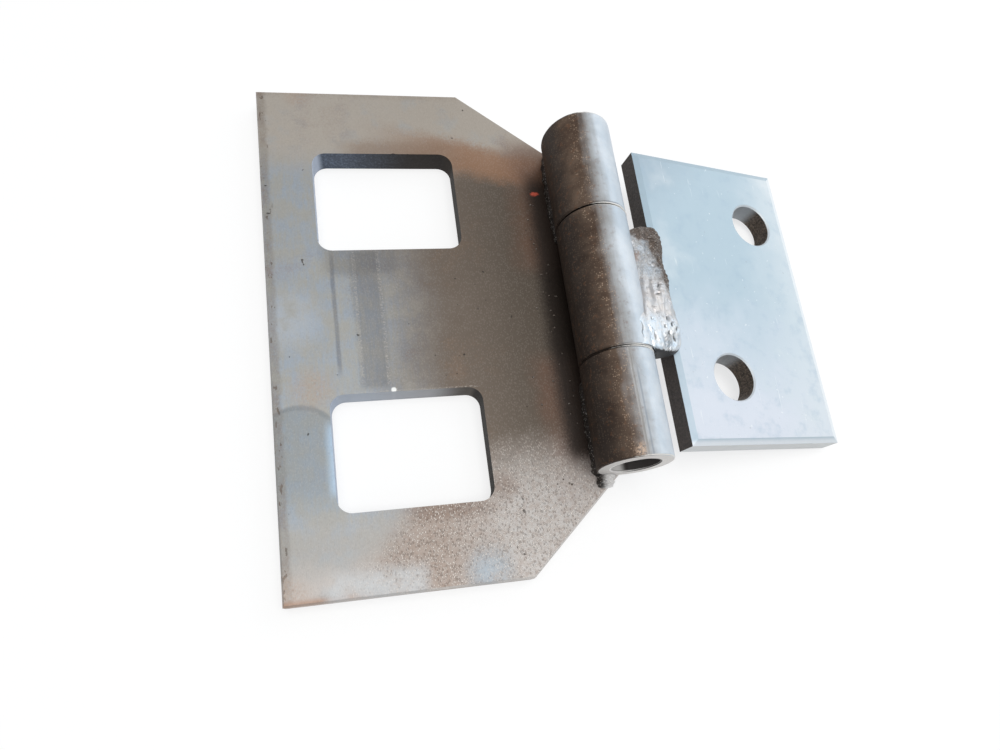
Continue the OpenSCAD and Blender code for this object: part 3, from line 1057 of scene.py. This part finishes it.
def bead_relief(y, turn, section, lower):
    """Push = lumps + rough edge + knob - marks, pool and ridge on the outer side. Crest = 1 - darkness."""
    across, out = np.moveaxis(section, -1, 0)
    outside = step(out - 2)
    depth, dark = pressed_marks(across, y)
    pool, ripple, ridge = last_pool(across, y)
    uneven = 0.26 * lumps(y * 0.4, 3 * np.cos(turn), 3) + 0.12 * lumps(y * 0.3, across * 1.6, 4)
    uneven = uneven + 0.09 * lumps(y * 0.9, across * 1.9, 6) * lower
    rough = 0.12 * lumps(y * 3.1, 12 * np.sin(turn), 5) * (1 - lower) * ((across - 10) / 5).clip(0, 1)
    knob = 0.9 * np.exp(-((y - 16.5) / 3.0) ** 2 - ((turn - 0.35) / 0.5) ** 2)
    pressed = depth + pool * (POOL_SINK + RIPPLE_HEIGHT * (1 - ripple)) - RIDGE_HEIGHT * ridge
    push = uneven + rough + knob - pressed * outside
    crest = 1 - np.maximum(dark, pool * (0.76 + 0.05 * (1 - ripple))) * outside
    return push, crest


flat = np.zeros((1, 1))
push, crest = bead_relief(flat, flat, np.full((1, 1, 2), 10.0), flat)
print(f"push in the bead's middle {push[0, 0]:.2f} mm")

# %% [markdown]
# ## Ends of the bead
# The bead ends bluntly. Its lower end leans in below its crown, loses a corner on the leaf's side and
# must clear the next knuckle, past which it hangs over a little. Its upper end slants down towards the
# tube. Cutting the mesh with planes would leave sharp rims, so the points are moved instead.

# %% Bead ends and the whole bead
BEAD_ALONG = 360
BEAD_ROUND = 200
BEAD_BLUNT = 9
BEAD_OVERHANG = 1.0
BEAD_TOP_GAP = 0.35
LOWER_TO, LOWER_SOFT = -5.0, 4.0
CORNER_CUT = 2.2
UNDERCUT = 0.2
TOP_SLANT = 0.25
KNUCKLE_CLEAR = 0.45


def shape_ends(section, y, far_side, top):
    """Draws in the lower corner, undercuts the lower end, slants the upper one, clears the knuckle."""
    across, out = np.moveaxis(section, -1, 0)
    corner = CORNER_CUT * ((-y - 17.5) / 4).clip(0, 1) ** 2 * ((across - 12) / 5).clip(0, 1)
    undercut = UNDERCUT * ((-y - 8) / 12).clip(0, 1) * (top - out).clip(0)
    slant = TOP_SLANT * ((y - 10) / 10).clip(0, 1) * (far_side - across).clip(0)
    across, along = across - corner, y + undercut - slant
    from_axis = np.hypot(across, out)
    past_end = along < CENTRE_LOW[1] + 0.1
    lift = np.where(past_end, np.maximum(from_axis, TUBE_R + KNUCKLE_CLEAR) / from_axis, 1)
    return leaf_to_row(across * lift, along, out * lift)


def centre_bead():
    """Skin and crest: the blended section, arms stretched by the relief and drawn in at the blunt ends."""
    low, high = CENTRE_LOW[1] - BEAD_OVERHANG, CENTRE_HIGH[1] - BEAD_TOP_GAP
    share, turn = rows_and_turns(BEAD_ALONG, BEAD_ROUND)
    y = (low + high) / 2 + share * (high - low) / 2
    lower = step((LOWER_TO - y) / LOWER_SOFT)
    section = bead_section(lower, turn[0])
    middle = section.mean(1, keepdims=True)
    far_side, top = np.moveaxis(section.max(1, keepdims=True), -1, 0)
    push, crest = bead_relief(y, turn, section, lower)
    arm = section - middle
    stretch = (1 + push / np.linalg.norm(arm, axis=-1)) * blunt_end(share, BEAD_BLUNT)
    section = middle + arm * stretch[..., None]
    return closed_skin(shape_ends(section, y, far_side, top)), crest


bead_skin, bead_crest = centre_bead()
print(f"bead volume {signed_volume(*bead_skin):.0f} cubic mm")

# %% [markdown]
# ## The lap up the tube
# At its lower end the weld ran up the tube's shoulder as a thin lap with a dark rim. The bead's loop
# can't reach there without folding over itself, so the lap is a skin of its own: an outer arc over the
# tube, an inner arc in the tube's wall. Both skins make one piece.

# %% Lap, and the bead as one piece
LAP_ALONG = 120
LAP_ROUND = 60
LAP_LOW, LAP_HIGH = CENTRE_LOW[1] + 0.15, -5.0
# degrees round the pin, up from the small leaf: where the lap starts, and where its rim lies above and below
LAP_FROM, LAP_SIDE, LAP_TOP = 8.0, 34.0, 78.0
LAP_THICK = 0.5


def tube_lap():
    """Outer radius = tube + thickness that thins to the rim, whose angle is level below and falls above."""
    y, v = np.meshgrid(np.linspace(LAP_LOW, LAP_HIGH, LAP_ALONG), np.linspace(0, 1, LAP_ROUND), indexing="ij")
    level = step(-(y + 10) / 2.2)
    rim = LAP_SIDE + (LAP_TOP - LAP_SIDE) * level + 1.5 * lumps(y * 0.8, y * 0.2, 31)
    angle = np.radians(LAP_FROM + v * (rim - LAP_FROM))
    outer = TUBE_R - 0.05 + level * (LAP_THICK * (1 - v ** 6) + 0.08 * lumps(y * 0.7, 4 * v, 32) * (1 - v))
    rim_line = np.exp(-((v - 0.95) / 0.04) ** 2 - ((y + 16) / 3.2) ** 4)
    radius = np.concatenate([outer, np.full_like(v, TUBE_R - 0.5)], 1)
    angle = np.concatenate([angle, angle[:, ::-1]], 1)
    grid = leaf_to_row(radius * np.cos(angle), np.concatenate([y, y], 1), radius * np.sin(angle))
    return closed_skin(grid), np.concatenate([1 - 0.9 * rim_line, np.ones_like(v)], 1)


lap_skin, lap_crest = tube_lap()
# each skin ends with the middle points of its two fans, which are plain
crest = np.concatenate([np.append(part, [1, 1]) for part in (bead_crest, lap_crest)])
bead = make_piece("centre_bead", [bead_skin, lap_skin], BEAD_METAL, "bonnet_side", crest)
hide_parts("centre_weld")

# %% [markdown]
# ## The fillets under the outer knuckles
# Each outer knuckle lies on the plate's edge, held by a fillet in the crook between tube and plate. The
# fillet ends in a lump past the end of the tube. It could be a strip with a hollow face, but the tube and
# the plate hide all the rest anyway. So it is a round run like the bead, smaller, with its middle line in
# the crook.

# %% Fillets
FILLET_ALONG = 140
FILLET_ROUND = 64
FILLET_BLUNT = 5
FILLET_R = 3.6
FILLET_SHRINK = 0.45
FILLET_RAISE = 0.25
FILLET_PITCH = 2.3
FILLET_TAIL = 0.9
TAIL_SHRINK = 0.55


def fillet(node, seed):
    """Radius round the crook's line = base + ripples + lumps, thinner and knobbly past the barrel's end."""
    low, high = box_mm(node)
    sign = 1 if high[1] > 0 else -1
    middle_x = low[0] + FILLET_R
    middle_z = high[2] - FILLET_R + FILLET_RAISE
    share, turn = rows_and_turns(FILLET_ALONG, FILLET_ROUND)
    length = high[1] - low[1] + FILLET_TAIL
    y = (low[1] + high[1] + sign * FILLET_TAIL) / 2 + share * length / 2
    tail = step((np.abs(y) - BARREL_END + 0.4) / 0.6)
    ripple = np.abs(np.cos(math.pi * (y * sign + 0.5 * np.cos(turn)) / FILLET_PITCH))
    uneven = 0.16 * lumps(y * 0.7, 3 * np.cos(turn), seed) + 0.12 * lumps(y * 1.9, 4 * np.sin(turn), seed + 1)
    knobs = 0.45 * lumps(y * 2.4, 4 * np.cos(turn), seed + 2) * tail
    radius = FILLET_R - FILLET_SHRINK - TAIL_SHRINK * tail + 0.16 * ripple + uneven + knobs
    radius = radius * blunt_end(share, FILLET_BLUNT)
    grid = np.stack([middle_x + radius * np.cos(turn), y, middle_z + radius * np.sin(turn)], -1)
    return closed_skin(grid), ripple


for node_name, seed in (("upper_weld", 11), ("lower_weld", 23)):
    skin, ripple = fillet(node_name, seed)
    piece = make_piece(node_name + "_bead", [skin], FILLET_METAL, "body_side", ripple)
    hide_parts(node_name)

# %% [markdown]
# ## Burrs at the saw cuts
# The tube was sawn into knuckles and never filed, so each cut has a thin bright burr. A bevel would be
# too even. A burr is a ring round the pin's axis whose own thickness wanders: in places it is gone, in
# places it stands a few tenths of a millimetre proud.

# %% Burr rings
BURR_ROUND = 240
BURR_SECTION = 8
BURR_R = TUBE_R - 0.22
BARE_SIDE = math.radians(150)
UPPER_CUT = box_mm("upper_knuckle")[0][1]


def burr(y, ring_r, thick, seed, bare_at=None):
    """Ring of radius ring_r at y with a wandering thickness; near the angle bare_at the burr is gone."""
    angle = np.linspace(0, 2 * math.pi, BURR_ROUND, endpoint=False)
    section = np.linspace(0, 2 * math.pi, BURR_SECTION, endpoint=False)
    a, t = np.meshgrid(angle, section, indexing="ij")
    wander = (0.5 + 0.5 * lumps(9 * np.cos(a), 9 * np.sin(a), seed)).clip(0, 1)
    cover = 1.0 if bare_at is None else (0.7 - 0.8 * np.cos(a - bare_at)).clip(0, 1)
    r = thick * (0.15 + 0.85 * cover * (0.7 + 0.3 * wander))
    reach = ring_r + r * np.cos(t)
    along = y + r * np.sin(t)
    z = np.minimum(AXIS_Z + reach * np.sin(a), AXIS_Z + TUBE_R - 0.02)
    return closed_skin(np.stack([AXIS_X + reach * np.cos(a), along, z], -1), ring_closed=True)


fixed_burrs = [
    burr(UPPER_CUT - 0.12, BURR_R, 0.36, 1, BARE_SIDE),
    burr(-UPPER_CUT + 0.12, BURR_R, 0.36, 2, BARE_SIDE),
    burr(-BARREL_END + 0.2, BURR_R, 0.18, 5),
    burr(BARREL_END - 0.2, BURR_R, 0.18, 6),
    burr(-BARREL_END + 0.25, BORE_R, 0.30, 7, 0.0),
    burr(BARREL_END - 0.25, BORE_R, 0.30, 8, 0.0),
]
moving_burrs = [
    burr(CENTRE_HIGH[1] - 0.15, BURR_R, 0.16, 3, BARE_SIDE),
    burr(CENTRE_LOW[1] + 0.15, BURR_R, 0.22, 4, BARE_SIDE),
]


def burr_finish():
    """Torn edge: brown with the tube's scale on one flank, bright on the other as painted light, and pale round
    the bore.
    """
    steel = Steel("burr_steel")
    patch = steel.place.noise(0.6, 3.0, 0.6)
    reach, side = steel.around_pin()
    # painted light: bright on the flank towards the softbox, as on the tube
    bright = (side + (patch - 0.5) * 1.2).rise(-0.5, 0.1)
    steel.colour = bright.mix(paint(70, 58, 50), paint(232, 229, 224))
    steel.lay(1 - reach.rise(BORE_R + 0.5, BORE_R + 1), paint(224, 221, 218))
    return steel.finish(0.4 + patch * 0.2, 0.3, patch * 0.03)


BURR_STEEL = burr_finish()
make_piece("outer_burrs", fixed_burrs, BURR_STEEL, "body_side")
make_piece("centre_burrs", moving_burrs, BURR_STEEL, "bonnet_side")

# %% [markdown]
# ## Spatter
# Welding throws small drops of metal that stick to the plate near the seam. A particle system would
# scatter them too, but its draws are harder to pin down. Each drop is a low dome on a grid of latitude
# and longitude, repeated at seeded places: close to the welds there are many, further off few.

# %% Spatter drops
DROP_COUNT = 42
DROP_SEED = 17
DROP_R = (0.14, 0.36)
DROP_FLAT = 0.7
DROP_NEAR, DROP_FADE, DROP_FAR = 9.5, 7.0, 24
DROP_SPAN = 52
POLE = 0.12


def drops():
    """Flattened balls on the plate's face, drawn along the barrel and thinning out away from it."""
    rng = np.random.default_rng(DROP_SEED)
    latitude = np.linspace(POLE, math.pi - POLE, 7)
    longitude = np.linspace(0, 2 * math.pi, 10, endpoint=False)
    lat, lon = np.meshgrid(latitude, longitude, indexing="ij")
    ball = np.stack([np.sin(lat) * np.cos(lon), np.sin(lat) * np.sin(lon), DROP_FLAT * np.cos(lat)], -1)
    away = DROP_NEAR + rng.exponential(DROP_FADE, DROP_COUNT).clip(0, DROP_FAR)
    along = rng.uniform(-DROP_SPAN, DROP_SPAN, DROP_COUNT)
    radius = rng.uniform(*DROP_R, DROP_COUNT)
    places = np.stack([AXIS_X - away, along, np.full(DROP_COUNT, PLATE_TOP)], -1)
    return [closed_skin(place + ball * r) for place, r in zip(places, radius)]


make_piece("weld_spatter", drops(), SPATTER_METAL, "body_side")

# %% [markdown]
# ## The floor
# The hinge lies on a plain white floor. More light would make the floor white, but it would burn out the
# steel as well. So the floor is white paper, and for camera, mirror and glass rays part of it is plain
# white light: its shadow stays, but is gentle.

# %% Floor
FLOOR_HALF = 3.0
FLOOR_SINK = 0.0001
WHITE_SHARE = 0.65
WHITE_GLOW = 1.08


def floor_material():
    """White paper: diffuse, with a share of plain white for camera, glossy and transmission rays."""
    material = bpy.data.materials.new("floor_paper")
    material.use_nodes = True
    tree = material.node_tree
    paper = tree.nodes["Principled BSDF"]
    paper.inputs["Base Color"].default_value = (0.9, 0.9, 0.9, 1)
    paper.inputs["Roughness"].default_value = 0.9
    paper.inputs["Specular IOR Level"].default_value = 0.0
    rays = ("Is Camera Ray", "Is Glossy Ray", "Is Transmission Ray")
    camera, glossy, through = [add_node(tree, "ShaderNodeLightPath", out=name) for name in rays]
    seen = camera.math("MAXIMUM", glossy).math("MAXIMUM", through) * WHITE_SHARE
    glow = add_node(tree, "ShaderNodeEmission", None, {"Color": (1, 1, 1, 1), "Strength": WHITE_GLOW})
    mixed = seen.node("ShaderNodeMixShader", None, {0: seen, 1: Field(paper.outputs[0]), 2: glow})
    tree.links.new(mixed.socket, tree.nodes["Material Output"].inputs["Surface"])
    return material


corners = np.array([[-1, -1, 0], [1, -1, 0], [1, 1, 0], [-1, 1, 0]], float) * FLOOR_HALF
corners[:, 2] = -FLOOR_SINK
floor_mesh = bpy.data.meshes.new("floor")
floor_mesh.from_pydata(corners.tolist(), [], [[0, 1, 2, 3]])
floor_mesh.materials.append(floor_material())
floor = bpy.data.objects.new("floor", floor_mesh)
bpy.context.scene.collection.objects.link(floor)
print("floor of", 2 * FLOOR_HALF, "metres laid")

# %% [markdown]
# ## Lights
# One large cool softbox stands to the right and behind, so the small leaf and the tube's right flank
# catch it, and a wide overhead light fills the rest. Small lamps would draw hard glints on the bare
# steel.

# %% Lights
HINGE_MIDDLE = (0.035, 0.0, 0.01)


def softbox(name, place, width, height, power, colour):
    """Rectangular area light at a place in metres, aimed at the hinge."""
    data = bpy.data.lights.new(name, "AREA")
    data.shape = "RECTANGLE"
    data.size = width
    data.size_y = height
    data.energy = power
    data.color = colour
    lamp = bpy.data.objects.new(name, data)
    towards = np.array(HINGE_MIDDLE) - np.array(place)
    back = -towards / np.linalg.norm(towards)
    side = np.cross((0, 0, 1), back)
    side = side / np.linalg.norm(side)
    up = np.cross(back, side)
    turn = np.eye(4)
    turn[:3] = np.column_stack([side, up, back, place])
    lamp.matrix_world = Matrix(turn.tolist())
    bpy.context.scene.collection.objects.link(lamp)
    print(f"{name}: {power} W at {place}")


softbox("right_softbox", (0.80, 0.43, 0.45), 1.0, 0.8, 2.9, (0.90, 0.96, 1.0))
softbox("overhead", (0.05, -0.10, 1.1), 1.0, 1.0, 8.0, (1.0, 0.99, 0.97))

world = bpy.data.worlds.new("studio")
bpy.context.scene.world = world
world.use_nodes = True
world.node_tree.nodes["Background"].inputs["Color"].default_value = (0.93, 0.96, 1.0, 1)
world.node_tree.nodes["Background"].inputs["Strength"].default_value = 0.40
bpy.context.scene.view_settings.view_transform = "Standard"

# %% [markdown]
# ## Camera
# A hand-held close-up: the lens is wide, the camera is low and a little left of the plate's middle. The
# place and the turn were worked out from the corners of the plate, the windows and the barrel's ends in a
# 1000 by 750 picture, and the small shift keeps the hinge where it lies in that frame.

# %% Camera
CAMERA_PLACE = (-21.0, -81.6, 156.7)
CAMERA_TURN = (13.6, -8.72, -7.24)
CAMERA_LENS = 21.32
CAMERA_SHIFT = (0.0188, 0.1052)

camera_data = bpy.data.cameras.new("camera")
camera_data.sensor_fit = "HORIZONTAL"
camera_data.sensor_width = 36.0
camera_data.lens = CAMERA_LENS
camera_data.shift_x, camera_data.shift_y = CAMERA_SHIFT
camera_data.clip_start = 0.005
camera = bpy.data.objects.new("camera", camera_data)
camera.location = [value * MM for value in CAMERA_PLACE]
camera.rotation_euler = [math.radians(value) for value in CAMERA_TURN]
bpy.context.scene.collection.objects.link(camera)
bpy.context.scene.camera = camera
print("camera at", CAMERA_PLACE)
